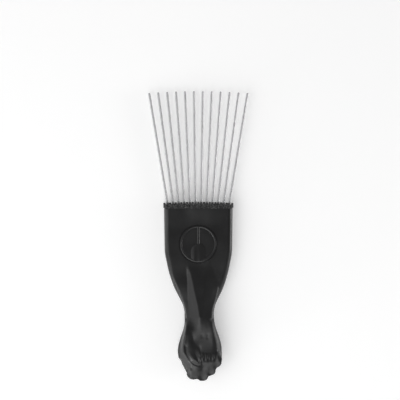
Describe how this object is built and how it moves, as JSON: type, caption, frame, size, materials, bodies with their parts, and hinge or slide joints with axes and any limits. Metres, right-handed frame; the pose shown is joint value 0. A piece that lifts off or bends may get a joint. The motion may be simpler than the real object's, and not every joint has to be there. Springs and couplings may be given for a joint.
{
  "type": "afro pick",
  "caption": "Hair pick: a fan of long round wire tines in a scalloped bar, on a moulded handle that narrows to a wrist and ends in a clenched fist.",
  "frame": {"origin": "centre of the bounding box's bottom, on the surface that the pick lies on", "axes": "+Y along the pick towards the tine tips, +X across the fan to the right of the palm side, +Z out of the palm side, away from the surface"},
  "size_m": [0.061, 0.1751, 0.0185],
  "materials": {
    "handle_plastic": "moulded black plastic, semi-gloss",
    "bar_plastic": "moulded black plastic, semi-gloss",
    "tine_wire": "bright plated round wire"
  },
  "bodies": {
    "root": {"handle": "handle_plastic", "tine_bar": "bar_plastic", "tine_01": "tine_wire", "tine_02": "tine_wire", "tine_03": "tine_wire", "tine_04": "tine_wire", "tine_05": "tine_wire", "tine_06": "tine_wire", "tine_07": "tine_wire", "tine_08": "tine_wire", "tine_09": "tine_wire", "tine_10": "tine_wire", "tine_11": "tine_wire", "tine_12": "tine_wire"}
  },
  "joints": []
}
